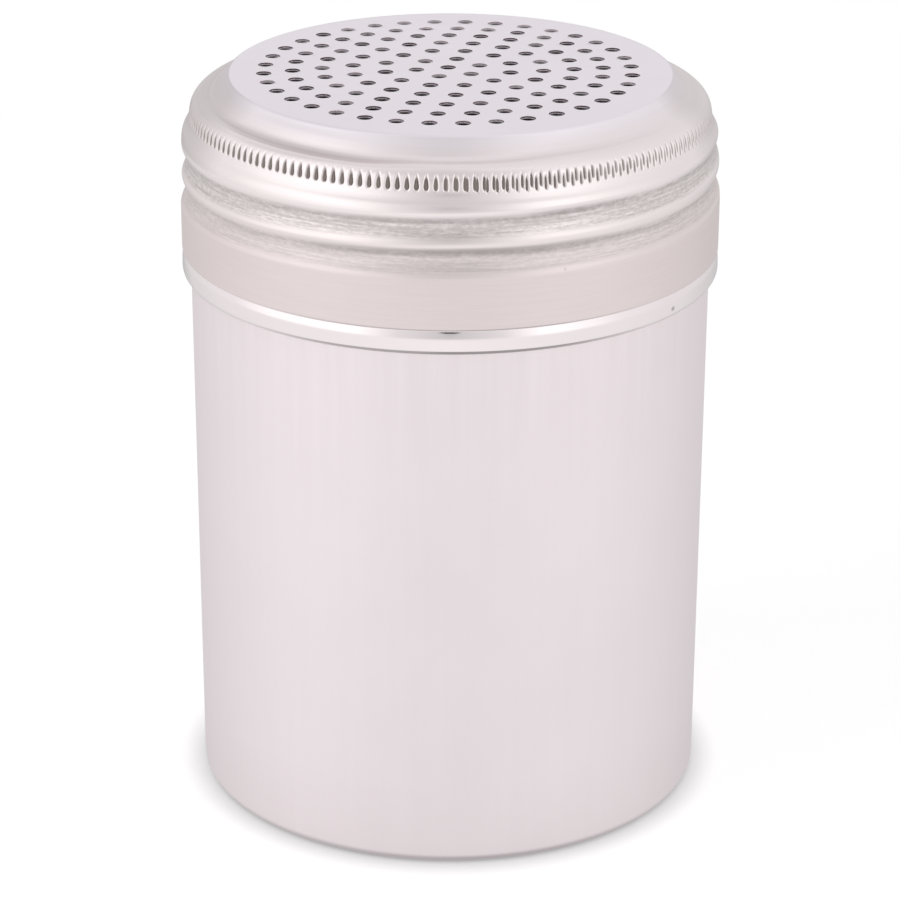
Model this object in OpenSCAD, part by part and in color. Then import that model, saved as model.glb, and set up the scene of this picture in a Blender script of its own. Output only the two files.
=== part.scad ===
// Stainless steel shaker for ground spice, salt, sugar or flour.
// A deep-drawn cup holds the powder. A lid stamped from one sheet, with a
// perforated top, screws onto the neck of the cup by a thread rolled into both
// sheets. A thin ring between the rim and the lid keeps powder out of the thread.
// Millimetres, +Z up, origin at the centre of the base. The front is -Y.

/* [Cup] */
// Outside diameter of the straight wall
body_d = 67; // [60:0.5:80]
// Height from the table to the rim
cup_h = 92.6; // [70:0.1:130]
// Thickness of the sheet
cup_t = 0.6; // [0.4:0.05:0.8]
// Outside radius of the bottom corner
corner_r = 1.8; // [1.2:0.1:4]
// Width of the flat ring that the cup stands on
foot_w = 4; // [2:0.5:8]
// How far the middle of the base is dished up inside that ring
dish_h = 1.1; // [0.4:0.1:2]
// Slope of the dish's edge, from the level
dish_slope = 30; // [20:1:45]

/* [Thread] */
// Rise of the lid in one full turn
lead = 4.2; // [3.8:0.1:4.8]
// How far the neck is set in from the wall below it
neck_in = 0.85; // [0.7:0.05:0.95]
// Height of the ridge that is rolled out of the neck
ridge_h = 1.15; // [1.05:0.05:1.2]
// Width of that ridge at its crest
ridge_crest_w = 0.6; // [0.4:0.1:0.8]
// Width of that ridge at its foot
ridge_foot_w = 2.2; // [1.8:0.1:2.3]
// Turns of ridge on the neck
ridge_turns = 1.5; // [1:0.25:1.75]
// Depth of the ridge's middle below the rim, at the front
ridge_drop = 7.7; // [7:0.1:9]
// Width of the groove that is rolled into the lid
groove_w = 3.2; // [2.8:0.1:3.3]
// Turns of groove on the lid
groove_turns = 1.83; // [1.5:0.01:2]
// How far past the front the groove's upper end lies
groove_end = 120; // [90:5:150]
// Gap between the neck and the inner face of the lid's groove
thread_gap = 0.85; // [0.75:0.05:0.95]
// Length of plain neck below the thread
neck_tail = 3; // [2.6:0.1:5]

/* [Lid] */
// Thickness of the sheet
lid_t = 0.5; // [0.4:0.05:0.6]
// Gap between the cup and the inside of the skirt
skirt_gap = 0.9; // [0.8:0.05:1.2]
// Height of the lid from its highest point to its lower edge
lid_h = 26.1; // [25:0.1:32]
// How much wider the skirt is than the band below the knurl, on the radius
flare = 0.25; // [0.1:0.05:0.3]
// Width from the skirt's face in to the edge of the flat top
shoulder_w = 6.55; // [6.2:0.05:8]
// Height of the flat field of holes above that edge
crown_h = 0.4; // [0.2:0.01:1]
// Slope of the bevel round the top, from the level
bevel_slope = 56; // [45:1:65]
// Radius of the hollow at the foot of the bevel
hollow_r = 1.65; // [1.2:0.05:1.9]
// Width from the skirt's face in to the middle of the shoulder's round
shoulder_in = 3.8; // [3.6:0.05:4]
// Radius of the shoulder
shoulder_r = 2.8; // [2.6:0.05:3]
// Slope of the knurled cone under the shoulder, from the upright
cone_slope = 20; // [17:1:24]
// Radius that turns that cone into the upright band
band_r = 3; // [2:0.1:4]

/* [Knurl] */
// Number of slots round the shoulder
knurl_count = 180; // [90:10:240]
// Depth of a slot
knurl_depth = 0.28; // [0.15:0.01:0.32]
// Width of a slot at the surface
knurl_w = 0.62; // [0.3:0.01:0.7]
// Distance from the flat of the shoulder down to the foot of the slots
knurl_drop = 2.66; // [2.3:0.02:2.9]

/* [Hem] */
// Height of the folded hem at the lid's lower edge
hem_h = 3.4; // [2.8:0.1:4]
// Gap between the cup and the hem
hem_gap = 0.4; // [0.38:0.02:0.5]
// Depth of the nick between skirt and hem
hem_nick = 0.3; // [0.15:0.05:0.35]

/* [Perforations] */
// Diameter of a hole
hole_d = 1.9; // [1:0.1:2.6]
// Rings of holes round the middle hole; each ring has 6 more than the last
hole_rings = 6; // [3:1:6]
// Width of plain sheet from the outer ring's middle to the bevel
hole_margin = 4.75; // [3:0.05:8]
// How much wider the inner rings are spaced than the outer ones
hole_crowding = 0.0125; // [0:0.0025:0.02]
// Direction in which every ring starts, from +X
hole_start = 14.5; // [0:0.5:60]

/* [Sealing ring] */
// Thickness of the ring
seal_t = 1.1; // [0.9:0.1:1.6]
// How far it reaches in from the neck's inner face
seal_in = 1.4; // [1:0.1:2]
// Gap between the ring and the lid
seal_gap = 0.3; // [0.2:0.05:0.4]

/* [Hidden] */
$fn = 128;

// Facets of a swept thread in one turn, and pieces across its width
thread_steps = 54;
thread_cuts = 6;
// The thread fades out over this angle at each end, and its section is this round
thread_fade = 40;
thread_round = 2.2;
// Share of its width that is left where the thread has faded out
thread_end = 0.4;
// A cut passes the face that it opens by this much, and a foot sinks in by it
over = 0.15;
// Height of the neck's shoulder for each millimetre that the neck is narrower
shoulder_run = 1.5;
// How much wider the inner face of the lid's groove is than its outer face
groove_spread = 0.6;
// Length of the flare's slope, in turns of the thread
flare_turns = 1.1;
// Clear distance round a hole, for its diameter
hole_clear = 0.1;
// How far a cutter reaches, in thicknesses or depths of what it cuts
reach_n = 3;
// Facets of a rim's round, of a bend in the sheet, and of the shoulder
rim_steps = 4;
bend_steps = 5;
shoulder_steps = 6;
// Facets round a hole
hole_steps = 32;
// The thread's heights are given here, and its hand is right
front = -90;

// Cup, worked out
body_r = body_d / 2;
neck_r = body_r - neck_in;
rim_r = cup_t / 4;
thread_z = cup_h - ridge_drop;
neck_foot_z = thread_z - lead * (ridge_turns / 2 + 0.5) - neck_tail;
foot_out_r = body_r - corner_r;
foot_in_r = foot_out_r - foot_w;
dish_run = dish_h / tan(dish_slope);

// Lid, worked out; its own zero is its highest point
skirt_r = body_r + skirt_gap + lid_t;
upright_r = skirt_r - flare;
crease_r = lid_t + 0.1;
crease_at = [skirt_r - shoulder_w, -crown_h - crease_r];
shoulder_x = skirt_r - shoulder_in;
bevel_top = crease_at + crease_r * [sin(bevel_slope), cos(bevel_slope)];
bevel_foot_r = shoulder_x - hollow_r * sin(bevel_slope);
bevel_foot_z = bevel_top[1] - (bevel_foot_r - bevel_top[0]) * tan(bevel_slope);
ledge_z = bevel_foot_z - hollow_r * (1 - cos(bevel_slope));
shoulder_at = [shoulder_x, ledge_z - shoulder_r];
cone_top = shoulder_at + shoulder_r * [cos(cone_slope), sin(cone_slope)];
cone_foot_r = upright_r - band_r * (1 - cos(cone_slope));
cone_foot_z = cone_top[1] - (cone_foot_r - cone_top[0]) / tan(cone_slope);
band_at = [upright_r - band_r, cone_foot_z - band_r * sin(cone_slope)];
hem_z = -lid_h + hem_h;
hem_in_r = body_r + hem_gap;
hem_round = (skirt_r - hem_nick - hem_in_r) / 2;
hem_face_h = hem_h - 2 * hem_round;
hem_face_r = (pow(hem_face_h / 2, 2) + pow(hem_nick, 2)) / (2 * hem_nick);
hem_face_a = asin(hem_face_h / 2 / hem_face_r);
hem_face_at = [skirt_r - hem_face_r, hem_z - hem_round - hem_face_h / 2];

// The lid stands on the ring, and the ring on the rim
lid_z = cup_h + seal_t + seal_gap + lid_t - ledge_z;
groove_floor_r = neck_r + thread_gap + lid_t;
groove_depth = upright_r - groove_floor_r;
groove_back_w = groove_w + groove_spread;
groove_z = thread_z - lead / 2;
groove_from = 360 + groove_end - 360 * groove_turns;
flare_top_z = groove_z - lid_z + lead / 2;
flare_foot_z = flare_top_z - lead * flare_turns;

// Sealing ring, worked out from the neck and the inside of the shoulder
seal_out_r = neck_r - rim_r / 2;
seal_in_r = neck_r - cup_t - seal_in;
seal_edge_z = lid_z + shoulder_at[1] - seal_gap
    + sqrt(pow(shoulder_r - lid_t, 2) - pow(seal_out_r - shoulder_x, 2));

// Holes, in a flat field
hole_pitch = (skirt_r - shoulder_w - hole_margin) / hole_rings;
field_r = hole_pitch * hole_rings + hole_d * (0.5 + hole_clear);

function arc(at, r, a0, a1, n = bend_steps) = [
    for (i = [0 : n]) at + r * [cos(a0 + (a1 - a0) * i / n), sin(a0 + (a1 - a0) * i / n)]
];

// 0 at either end of the thread and 1 along it, easing in and out
function fade(a, a0, a1) = let (u = min(1, (a - a0) / thread_fade, (a1 - a) / thread_fade))
    (1 - cos(180 * max(0, u))) / 2;

// Section of a rolled thread: [across, height] from one edge to the other
function thread_bell(width) = [
    for (i = [0 : thread_cuts]) let (u = 1 - 2 * i / thread_cuts)
        [u * width / 2, 1 - pow(abs(u), thread_round)]
];

// Places a [radius, height] section at an angle on the screw line through z at the front
function screw_ring(section, a, z) = [
    for (p = section)
        [p[0] * cos(front + a), p[0] * sin(front + a), z + lead * a / 360 + p[1]]
];

// A closed solid skinned over rings of equally many points
module skin(rings) {
    n = len(rings[0]);
    last = (len(rings) - 1) * n;
    sides = [
        for (i = [0 : len(rings) - 2], j = [0 : n - 1])
            let (a = i * n + j, b = i * n + (j + 1) % n)
                each [[a, b, b + n], [a, b + n, a + n]]
    ];
    caps = [[for (j = [n - 1 : -1 : 0]) j], [for (j = [0 : n - 1]) last + j]];
    polyhedron([for (ring = rings) each ring], concat(sides, caps));
}

// The hollow of the lid's thread seen from one side of its sheet. Its edges start
// outside that face, so that none of them lies on it. back_r is the radius of the
// sweep's back, and a wider one makes the inner face.
module rolled_groove(face_r, width, back_r) {
    steps = ceil(thread_steps * groove_turns);
    to = groove_from + 360 * groove_turns;
    skin([
        for (i = [0 : steps])
            let (
                a = groove_from + (to - groove_from) * i / steps,
                k = fade(a, groove_from, to),
                w = width * (thread_end + (1 - thread_end) * k),
                bell = [for (p = thread_bell(w)) [face_r + over - p[1] * (groove_depth + over) * k, p[0]]]
            )
                screw_ring(concat(bell, [[back_r, -w / 2], [back_r, w / 2]]), a, groove_z)
    ]);
}

// The ridge of the neck, with its foot sunk into the wall
module rolled_ridge() {
    steps = ceil(thread_steps * ridge_turns);
    half = 180 * ridge_turns;
    skin([
        for (i = [0 : steps])
            let (
                a = -half + 2 * half * i / steps,
                k = fade(a, -half, half),
                r = neck_r - over / 2 + (ridge_h + over / 2) * k
            )
                screw_ring([
                    [neck_r - over, ridge_foot_w / 2 * (thread_end + (1 - thread_end) * k) + over],
                    [neck_r - over, -ridge_foot_w / 2 * (thread_end + (1 - thread_end) * k) - over],
                    [r, -ridge_crest_w / 2],
                    [r, ridge_crest_w / 2]
                ], a, thread_z)
    ]);
}

// The cup's sheet in section: its outer face, its rim and its inner face
module cup_section() {
    shoulder_h = neck_in * shoulder_run;
    shoulder = [[body_r, neck_foot_z - shoulder_h], [neck_r, neck_foot_z]];
    outer = concat(
        [[0, dish_h], [foot_in_r - dish_run, dish_h], [foot_in_r, 0]],
        arc([foot_out_r, corner_r], corner_r, 270, 360, shoulder_steps),
        shoulder,
        arc([neck_r - rim_r, cup_h - rim_r], rim_r, 0, 90, rim_steps)
    );
    rise = cup_t * (1 - cos(dish_slope)) / sin(dish_slope);
    inner = concat(
        arc([neck_r - cup_t + rim_r, cup_h - rim_r], rim_r, 90, 180, rim_steps),
        [for (i = [1 : -1 : 0]) shoulder[i] - [cup_t, rim_r]],
        arc([foot_out_r, corner_r], corner_r - cup_t, 360, 270, shoulder_steps),
        [[foot_in_r + rise, cup_t], [foot_in_r - dish_run + rise, dish_h + cup_t], [0, dish_h + cup_t]]
    );
    polygon(concat(outer, inner));
}

module cup() {
    color("#e2dadd") {
        rotate_extrude() cup_section();
        rolled_ridge();
    }
}

module seal_ring() {
    top_z = cup_h + seal_t;
    color("#f2f0ea") rotate_extrude() polygon([
        [seal_in_r, cup_h],
        [seal_out_r, cup_h],
        [seal_out_r, seal_edge_z],
        [shoulder_x, top_z],
        [seal_in_r, top_z]
    ]);
}

// One face of the lid's sheet from the middle of the top to the skirt, t in from outside
function lid_face(t) = concat(
    [[0, -t]],
    [for (i = [0 : rim_steps - 2])
        let (u = i / (rim_steps - 1)) [field_r + u * (crease_at[0] - field_r), -crown_h * u * u - t]],
    arc(crease_at, crease_r - t, 90, 90 - bevel_slope, rim_steps),
    arc([shoulder_x, ledge_z + hollow_r], hollow_r + t, 270 - bevel_slope, 270),
    arc(shoulder_at, shoulder_r - t, 90, cone_slope, shoulder_steps),
    arc(band_at, band_r - t, cone_slope, 0, rim_steps),
    [[upright_r - t, flare_top_z], [skirt_r - t, flare_foot_z]]
);

// The hem's outer face, its fold and the leg folded up inside
function lid_hem() = concat(
    [[skirt_r, hem_z]],
    arc(hem_face_at, hem_face_r, hem_face_a, -hem_face_a, shoulder_steps),
    arc([hem_in_r + hem_round, -lid_h + hem_round], hem_round, 0, -180, 2 * rim_steps),
    [[hem_in_r, hem_z - hem_round], [skirt_r - lid_t, hem_z - hem_round]]
);

module lid_section() {
    inner = lid_face(lid_t);
    polygon(concat(lid_face(0), lid_hem(), [for (i = [len(inner) - 1 : -1 : 0]) inner[i]]));
}

module perforations() {
    for (ring = [0 : hole_rings]) {
        count = max(1, 6 * ring);
        r = ring * hole_pitch * (1 + hole_crowding * (hole_rings - ring));
        for (i = [0 : count - 1])
            rotate(hole_start + 360 * i / count)
                translate([r, 0, -reach_n * lid_t])
                    cylinder(d = hole_d, h = 2 * reach_n * lid_t, $fn = hole_steps);
    }
}

// Slots as a wheel with pointed teeth presses them, parallel to the knurled cone
module knurl() {
    foot_z = ledge_z - knurl_drop;
    foot_r = cone_top[0] + (cone_top[1] - foot_z) * tan(cone_slope) - knurl_depth / cos(cone_slope);
    flank = knurl_w / 2 / knurl_depth;
    reach = knurl_depth * reach_n;
    for (i = [0 : knurl_count - 1])
        rotate(360 * i / knurl_count)
            translate([foot_r, 0, foot_z])
                rotate([0, -cone_slope, 0])
                    linear_extrude(shoulder_r)
                        polygon([[0, 0], [reach, reach * flank], [reach, -reach * flank]]);
}

module lid() {
    color("#ddd6da") difference() {
        union() {
            translate([0, 0, lid_z]) rotate_extrude() lid_section();
            rolled_groove(upright_r - lid_t, groove_back_w, skirt_r - flare / 2 - lid_t / 2);
        }
        rolled_groove(upright_r, groove_w, skirt_r + over);
        translate([0, 0, lid_z]) perforations();
        translate([0, 0, lid_z]) knurl();
    }
}

cup();
seal_ring();
lid();
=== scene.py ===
# %% [markdown]
# # A steel shaker for ground spice
#
# A shaker of this kind is two pressings and a ring. The cup is drawn deep from a
# disc of stainless sheet. The lid is stamped from a second disc, which is
# pierced, knurled, rolled with a thread and hemmed. This file dresses the
# engineering model of the shaker: it gives both sheets the fine forms that a
# solid model leaves plain, and every surface the finish of worked steel.
#
# The frame comes first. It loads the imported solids, and each new piece is laid
# out from their boxes.

# %% Load the frame
import math
import random

import bmesh
import bpy
from mathutils import Matrix, Vector
from mathutils.geometry import delaunay_2d_cdt


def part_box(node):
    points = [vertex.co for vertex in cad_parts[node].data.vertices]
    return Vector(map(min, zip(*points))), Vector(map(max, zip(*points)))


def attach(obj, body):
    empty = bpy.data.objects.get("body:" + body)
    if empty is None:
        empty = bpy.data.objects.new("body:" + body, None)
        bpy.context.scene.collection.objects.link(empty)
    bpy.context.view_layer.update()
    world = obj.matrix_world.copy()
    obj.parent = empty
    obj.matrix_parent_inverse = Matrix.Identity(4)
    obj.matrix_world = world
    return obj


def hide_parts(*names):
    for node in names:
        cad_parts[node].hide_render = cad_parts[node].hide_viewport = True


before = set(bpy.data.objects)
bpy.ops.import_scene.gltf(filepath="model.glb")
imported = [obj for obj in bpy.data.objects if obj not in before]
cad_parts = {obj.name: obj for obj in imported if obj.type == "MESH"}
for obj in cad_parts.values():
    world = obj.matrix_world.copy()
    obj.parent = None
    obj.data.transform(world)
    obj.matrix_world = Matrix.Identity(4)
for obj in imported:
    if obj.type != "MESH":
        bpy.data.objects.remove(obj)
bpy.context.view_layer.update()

MM = 0.001
LID_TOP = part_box("lid")[1][2] / MM
LID_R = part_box("lid")[1][0] / MM
CUP_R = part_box("cup")[1][0] / MM
RIM_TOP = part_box("cup")[1][2] / MM
print(f"lid top {LID_TOP:.2f} mm, lid radius {LID_R:.2f}, cup radius {CUP_R:.2f}, rim {RIM_TOP:.2f}")

# %% [markdown]
# ## The camera
#
# A product like this is pictured with a long lens from a little above, so that
# the round top shows as a flat oval and the wall stays upright. The camera's
# place is given from the middle of the lid's top, and its three turns are
# written as a small matrix, because a tilt of a tenth of a degree already shows
# on such an even form.

# %% Camera
EYE_BACK, EYE_UP, EYE_ASIDE = 425.8, 120.4, -0.2
LOOK_DOWN, LOOK_ASIDE, HEAD_TILT = (math.radians(d) for d in (22.149, 0.037, 0.195))
LENS, SENSOR = 137.44, 36.0


def camera_axes(down, aside, tilt):
    ahead = Vector((math.sin(aside) * math.cos(down), math.cos(aside) * math.cos(down), -math.sin(down)))
    right = Vector((math.cos(aside), -math.sin(aside), 0))
    up = right.cross(ahead)
    return (math.cos(tilt) * right + math.sin(tilt) * up,
            math.cos(tilt) * up - math.sin(tilt) * right, -ahead)


lens = bpy.data.cameras.new("studio_camera")
lens.lens, lens.sensor_width = LENS, SENSOR
camera = bpy.data.objects.new("studio_camera", lens)
turn = Matrix(camera_axes(LOOK_DOWN, LOOK_ASIDE, HEAD_TILT)).transposed().to_4x4()
camera.matrix_world = Matrix.Translation(Vector((EYE_ASIDE, -EYE_BACK, LID_TOP + EYE_UP)) * MM) @ turn
bpy.context.collection.objects.link(camera)
bpy.context.scene.camera = camera
print("camera at", [round(c, 3) for c in camera.matrix_world.translation])

# %% [markdown]
# ## Rings and skins
#
# Both sheets are bodies of revolution that are disturbed in places: by a screw
# thread, by knurling, by holes. Blender's Screw modifier would turn a profile
# into a body, but it can't vary it with the angle. So each sheet is skinned over
# rings of points instead. A ring may have any number of points, and a joint
# between two unlike rings is zipped with triangles, so the knurling can be six
# times finer than the plain wall below it.

# %% Skins
FRONT = -90.0


class Skin:
    """A closed sheet: points in millimetres, faces and the finish of each, and two marks on each point."""

    def __init__(self):
        self.points, self.faces, self.finish = [], [], []
        self.residue, self.hollow = {}, {}

    def ring(self, count, place):
        """A ring of count points, where place(angle) gives a radius and a height."""
        first = len(self.points)
        for i in range(count):
            angle = 360 * i / count
            radius, height = place(angle)
            turn = math.radians(FRONT + angle)
            self.points.append((radius * math.cos(turn), radius * math.sin(turn), height))
        return list(range(first, first + count))

    def join(self, a, b, finish):
        """Faces between two closed rings that start at the same angle."""
        na, nb, i, j = len(a), len(b), 0, 0
        if na == nb:
            for k in range(na):
                n = (k + 1) % na
                self.add((a[k], b[k], b[n], a[n]), finish)
            return
        while i < na or j < nb:
            if j >= nb or (i < na and (i + 1) * nb <= (j + 1) * na):
                self.add((a[i % na], b[j % nb], a[(i + 1) % na]), finish)
                i += 1
            else:
                self.add((a[i % na], b[j % nb], b[(j + 1) % nb]), finish)
                j += 1

    def add(self, face, finish):
        self.faces.append(face)
        self.finish.append(finish)

    def piece(self, name, materials):
        """The sheet as a Blender object in metres, with its normals turned outwards."""
        mesh = bpy.data.meshes.new(name)
        mesh.from_pydata([Vector(p) * MM for p in self.points], [], self.faces)
        for material in materials:
            mesh.materials.append(material)
        mesh.polygons.foreach_set("material_index", self.finish)
        work = bmesh.new()
        work.from_mesh(mesh)
        bmesh.ops.recalc_face_normals(work, faces=work.faces)
        open_edges = sum(1 for edge in work.edges if len(edge.link_faces) != 2)
        for face in work.faces:
            face.smooth = True
        work.to_mesh(mesh)
        work.free()
        for title, marks in (("residue", self.residue), ("hollow", self.hollow)):
            layer = mesh.attributes.new(title, "FLOAT", "POINT")
            layer.data.foreach_set("value", [marks.get(i, 0.0) for i in range(len(self.points))])
        piece = bpy.data.objects.new(name, mesh)
        bpy.context.collection.objects.link(piece)
        print(f"{name}: {len(self.points)} points, {len(self.faces)} faces, {open_edges} open edges")
        return piece


# %% [markdown]
# A profile is drawn as a few points that the sheet passes through. A curve
# through them, cut into short steps, gives the stations at which rings are laid.

# %% Profiles
def curve_through(points, step):
    """Points every step or so along a smooth curve through the given [radius, height] points."""
    ends = [2 * Vector(points[0]) - Vector(points[1]), 2 * Vector(points[-1]) - Vector(points[-2])]
    p = [ends[0]] + [Vector(q) for q in points] + [ends[1]]
    out = []
    for i in range(1, len(p) - 2):
        pieces = max(1, math.ceil((p[i + 1] - p[i]).length / step))
        for k in range(pieces):
            t = k / pieces
            out.append(0.5 * (2 * p[i] + (p[i + 1] - p[i - 1]) * t
                              + (2 * p[i - 1] - 5 * p[i] + 4 * p[i + 1] - p[i + 2]) * t * t
                              + (3 * p[i] - p[i - 1] - 3 * p[i + 1] + p[i + 2]) * t ** 3))
    return out + [p[-2]]


def arc(centre, radius, start, end, pieces):
    return [Vector((centre[0] + radius * math.cos(math.radians(start + (end - start) * i / pieces)),
                    centre[1] + radius * math.sin(math.radians(start + (end - start) * i / pieces))))
            for i in range(pieces + 1)]


def set_in(points, depth):
    """The other face of the sheet: the points moved by its thickness to the right of the way they run."""
    out = []
    for i, p in enumerate(points):
        along = (points[min(i + 1, len(points) - 1)] - points[max(i - 1, 0)]).normalized()
        out.append(p + depth * Vector((along[1], -along[0])))
    return out


def smooth_step(value, low, high):
    t = min(1.0, max(0.0, (value - low) / (high - low)))
    return t * t * (3 - 2 * t)


def plateau(value, rise, full, wane, gone):
    """0 up to rise, 1 from full to wane, and 0 again from gone on."""
    return smooth_step(value, rise, full) * (1 - smooth_step(value, wane, gone))


def signed(angle):
    """An angle from the front in degrees, from -180 to 180; the shaker's right side is positive."""
    return (angle + 180) % 360 - 180


print("a quarter arc of radius 1:", [tuple(round(v, 2) for v in p) for p in arc((0, 0), 1, 0, 90, 3)])


# %% [markdown]
# ## The thread
#
# Rolling presses a round groove into the lid and a ridge out of the neck, both
# on the same right-handed screw line. A groove could be swept along a helix and
# cut from the wall, but a rolled one has no cut edges: the sheet flows into it.
# So it is a height field: at each angle and height it says how far the wall has
# moved, and it fades out over a ninth of a turn at both ends.

# %% Thread
LEAD = 4.2
LID_GROOVE = dict(at=RIM_TOP - 9.8, start=-178.8, end=480.0, width=4.0, depth=0.65, wave=True)
NECK_RIDGE = dict(at=RIM_TOP - 7.7, start=-270.0, end=270.0, width=2.3, depth=1.15, wave=False)
FADE, TAIL_WIDTH, THREAD_ROUND, WAVE_EDGE = 40.0, 0.4, 2.2, 0.75


def keyed(keys, along, plain):
    """A value that is given at some angles along the screw line and eased between them."""
    for (a, low), (b, high) in zip(keys, keys[1:]):
        if a <= along < b:
            return low + (high - low) * smooth_step(along, a, b)
    return plain


def rolled(thread, angle, height, spread=0.0):
    """(how far the wall has moved, share of the full depth) at an angle from the front and a height."""
    best = 0.0
    a = signed(angle)
    while a < thread["end"] + 360:
        for along in (a - 360, a):
            if not thread["start"] < along < thread["end"]:
                continue
            near_end = min(1.0, (along - thread["start"]) / FADE, (thread["end"] - along) / FADE)
            k = (1 - math.cos(math.pi * near_end)) / 2
            half = (thread["width"] + spread) * (TAIL_WIDTH + (1 - TAIL_WIDTH) * k) / 2
            u = abs(height - thread["at"] - LEAD * along / 360 - keyed(thread.get("stray", ()), along, 0.0)) / half
            if u < 1:
                form = (0.5 + 0.5 * math.cos(math.pi * u)) ** WAVE_EDGE if thread["wave"] else 1 - u ** THREAD_ROUND
                best = max(best, thread["depth"] * keyed(thread.get("press", ()), along, 1.0) * k * form)
        a += 720
    return best, best / thread["depth"]


LID_GROOVE["stray"] = [(-180, 0), (-48, 0), (0, -0.14), (22, -0.33), (50, -0.5), (120, -0.3), (200, 0), (312, -0.2),
                       (360, -0.14), (382, -0.15), (410, -0.35), (480, -0.2)]
LID_GROOVE["press"] = [(-180, 1), (-60, 1), (-35, 0.85), (-15, 1), (315, 1), (338, 0.7), (372, 0.7), (392, 1),
                       (480, 1)]
print("groove depth at the front:", [round(rolled(LID_GROOVE, 0, RIM_TOP - d)[0], 2) for d in (5, 6, 7, 8, 9, 10)])

# %% [markdown]
# ## The cup
#
# The cup is drawn from one disc. Its wall is straight, its bottom corner has the
# radius of the punch, and its base is dished up a little so that it stands on a
# ring and doesn't rock. The neck is necked in by the depth of the thread. Inside,
# the sheet shows the same forms at its own thickness.

# %% Cup
CUP_SHEET, CORNER, FOOT_W, DISH, DISH_RUN, DRAFT = 0.6, 1.4, 4.0, 1.1, 1.9, 0.25
NECK_R, NECK_FOOT, SHOULDER_H, RIM_ROUND = CUP_R - 0.85, RIM_TOP - 15.95, 1.28, 0.15
AROUND, WALL_RINGS, NECK_RINGS, NECK_STEP = 360, 40, 101, 0.15


def cup_outside():
    """The outer face of the cup, from the middle of the base to the rim."""
    low_r = CUP_R - DRAFT
    foot_r = low_r - CORNER
    base = curve_through([(0.5, DISH), (12, DISH), (foot_r - FOOT_W - DISH_RUN - 1, DISH),
                          (foot_r - FOOT_W - DISH_RUN, DISH - 0.06), (foot_r - FOOT_W - 0.3, 0.09),
                          (foot_r - FOOT_W + 0.3, 0), (foot_r, 0)], 1.2)
    corner = arc((foot_r, CORNER), CORNER, 270, 360, 12)
    wall_h = NECK_FOOT - SHOULDER_H - 0.5 - CORNER
    wall = [Vector((low_r + DRAFT * i / WALL_RINGS, CORNER + wall_h * i / WALL_RINGS))
            for i in range(1, WALL_RINGS + 1)]
    neck = curve_through([(CUP_R, NECK_FOOT - SHOULDER_H - 0.3), (CUP_R - 0.06, NECK_FOOT - SHOULDER_H + 0.1),
                          (NECK_R + 0.06, NECK_FOOT - 0.1), (NECK_R, NECK_FOOT + 0.3)], 0.2)
    upright = [Vector((NECK_R, NECK_FOOT + 0.5 + NECK_STEP * i)) for i in range(NECK_RINGS)]
    rim = arc((NECK_R - RIM_ROUND, RIM_TOP - RIM_ROUND), RIM_ROUND, 0, 90, 4)
    return base[:-1] + corner + wall + neck + upright + rim


def cup_inside(outside):
    """The inner face, from the rim down to the middle of the base."""
    inner = [p for p in set_in(outside[::-1], CUP_SHEET) if p[1] < RIM_TOP - RIM_ROUND and p[0] > 0]
    rim = arc((NECK_R - CUP_SHEET + RIM_ROUND, RIM_TOP - RIM_ROUND), RIM_ROUND, 90, 180, 4)
    return rim + inner


def skin_cup(materials):
    skin = Skin()
    outside = cup_outside()
    last = None
    for k, p in enumerate(outside + cup_inside(outside)):
        on_neck = p[1] > NECK_FOOT + 0.4
        ring = skin.ring(AROUND, lambda angle: (
            p[0] + (rolled(NECK_RIDGE, angle, p[1])[0] if on_neck else 0.0), p[1]))
        if last:
            skin.join(last, ring, 0 if k < len(outside) else 1)
        else:
            skin.add(tuple(ring), 0)
        last = ring
    skin.add(tuple(last), 1)
    return skin.piece("cup_shell", materials)


print("cup's profile:", len(cup_outside()), "stations outside and", len(cup_inside(cup_outside())), "inside")


# %% [markdown]
# ## The lid's wall
#
# From the flat top the sheet turns down over a bevel into a shallow ledge, rises
# over a round shoulder and runs out into an upright band. Below the band come
# the two turns of the thread, a plain skirt, a nick, and the hem, where the edge
# is folded up inside so that no raw edge can cut a hand.

# %% Lid profile
LID_SHEET, DOME_R, PLATE_R = 0.5, 819.0, 28.3
HEM_TOP, HEM_NICK, HEM_IN, LID_LOW = -23.28, 0.3, CUP_R + 0.4, -26.4
FOLD = (LID_R - HEM_NICK - HEM_IN) / 2
BAND_R = LID_R - 0.25


def dome(radius):
    return -radius * radius / (2 * DOME_R)


BEVEL = [(PLATE_R, dome(PLATE_R)), (28.52, -0.57), (28.7, -0.74), (28.88, -0.98), (29.4, -1.57), (29.9, -2.12),
         (30.25, -2.5), (30.5, -2.71), (30.85, -2.88), (31.25, -2.97), (31.65, -3.03)]
SHOULDER = [(32.0, -3.1), (32.4, -3.3), (32.75, -3.56), (33.04, -3.87), (33.26, -4.22), (33.41, -4.6),
            (33.5, -5.0), (33.57, -5.45), (33.67, -6.0), (33.82, -6.5), (34.06, -7.0), (34.36, -7.5),
            (34.53, -8.0), (34.61, -8.5), (BAND_R, -9.1)]
# The nick and the hem's outer face, as (depth from the lid's widest radius, height).
NICK = [(0, -22.68), (0.005, -23.03), (0.04, -23.16), (0.13, -23.22), (0.25, -23.26), (HEM_NICK, -23.36),
        (0.236, -23.55), (0.156, -23.8), (0.08, -24.05), (0.035, -24.3), (0.01, -24.65), (0, -25.1),
        (0, -25.7), (0.05, -25.95)]
THREAD_TOP, THREAD_LOW, THREAD_STEP = -9.3, -18.6, 0.15
FLARE_TOP, FLARE_LOW = 12.0, 17.2


def lid_upper():
    return curve_through(BEVEL + SHOULDER, 0.16)


def thread_heights():
    return [THREAD_TOP - THREAD_STEP * i for i in range(round((THREAD_TOP - THREAD_LOW) / THREAD_STEP) + 1)]


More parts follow.
